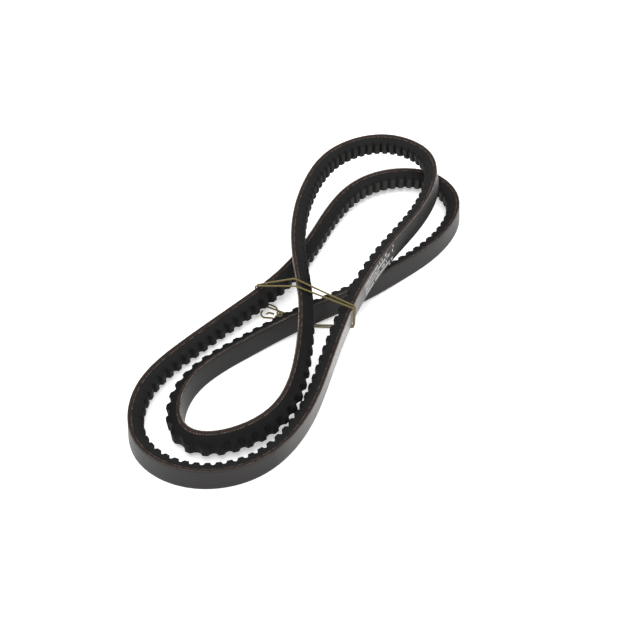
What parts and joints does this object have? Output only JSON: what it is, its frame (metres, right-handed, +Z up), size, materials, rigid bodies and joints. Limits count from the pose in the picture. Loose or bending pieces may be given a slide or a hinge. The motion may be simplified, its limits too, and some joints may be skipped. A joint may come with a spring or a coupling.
{
  "type": "v belt",
  "caption": "Endless raw-edge cogged V-belt folded into loops, stood on edge and tied at the waist with string.",
  "frame": {"origin": "under the middle of the bundle's box, on the ground", "axes": "+X along the bundle's long axis, from the nested loops towards the stacked pair; +Z up, across the belt's width"},
  "size_m": [0.2746, 0.0945, 0.0302],
  "materials": {
    "back_fabric": "rubberised dark grey woven ply, satin",
    "cushion_rubber": "dark brown rubber, cut edge",
    "tension_cord": "tan polyester cord in rubber, cut edge",
    "black_rubber": "matte black fibre-filled rubber",
    "string": "twisted tan string"
  },
  "bodies": {
    "tied_waist": {"waist_crossing_strand_back_fabric": "back_fabric", "waist_crossing_strand_cushion_rubber": "cushion_rubber", "waist_crossing_strand_tension_cord_layer": "tension_cord", "waist_crossing_strand_cogged_rubber": "black_rubber", "waist_middle_strand_back_fabric": "back_fabric", "waist_middle_strand_cushion_rubber": "cushion_rubber", "waist_middle_strand_tension_cord_layer": "tension_cord", "waist_middle_strand_cogged_rubber": "black_rubber", "waist_left_strand_back_fabric": "back_fabric", "waist_left_strand_cushion_rubber": "cushion_rubber", "waist_left_strand_tension_cord_layer": "tension_cord", "waist_left_strand_cogged_rubber": "black_rubber", "waist_right_strand_back_fabric": "back_fabric", "waist_right_strand_cushion_rubber": "cushion_rubber", "waist_right_strand_tension_cord_layer": "tension_cord", "waist_right_strand_cogged_rubber": "black_rubber", "tie_string_turns": "string", "tie_string_knot": "string", "tie_string_cut_end": "string", "tie_string_loop_end": "string"},
    "raised_loop": {"raised_loop_back_fabric": "back_fabric", "raised_loop_cushion_rubber": "cushion_rubber", "raised_loop_tension_cord_layer": "tension_cord", "raised_loop_cogged_rubber": "black_rubber"},
    "ground_loop": {"ground_loop_back_fabric": "back_fabric", "ground_loop_cushion_rubber": "cushion_rubber", "ground_loop_tension_cord_layer": "tension_cord", "ground_loop_cogged_rubber": "black_rubber"},
    "outer_loop": {"outer_loop_back_fabric": "back_fabric", "outer_loop_cushion_rubber": "cushion_rubber", "outer_loop_tension_cord_layer": "tension_cord", "outer_loop_cogged_rubber": "black_rubber"},
    "inner_loop": {"inner_loop_back_fabric": "back_fabric", "inner_loop_cushion_rubber": "cushion_rubber", "inner_loop_tension_cord_layer": "tension_cord", "inner_loop_cogged_rubber": "black_rubber"}
  },
  "joints": [
    {"name": "raised_loop_lift", "type": "hinge", "parent": "tied_waist", "child": "raised_loop", "pos_m": [0.005, -0.008, 0.024], "axis": [0, -1, 0], "range_deg": [0, 15], "stiffness_Nm_per_rad": 0.15},
    {"name": "ground_loop_swing", "type": "hinge", "parent": "tied_waist", "child": "ground_loop", "pos_m": [0.004, 0.002, 0.008], "axis": [0, 0, 1], "range_deg": [-6, 6], "stiffness_Nm_per_rad": 0.15},
    {"name": "outer_loop_lift", "type": "hinge", "parent": "tied_waist", "child": "outer_loop", "pos_m": [-0.0255, 0, 0.014], "axis": [0, 1, 0], "range_deg": [0, 15], "stiffness_Nm_per_rad": 0.15},
    {"name": "inner_loop_lift", "type": "hinge", "parent": "tied_waist", "child": "inner_loop", "pos_m": [-0.0246, -0.002, 0.02], "axis": [0, 1, 0], "range_deg": [0, 12], "stiffness_Nm_per_rad": 0.15}
  ]
}
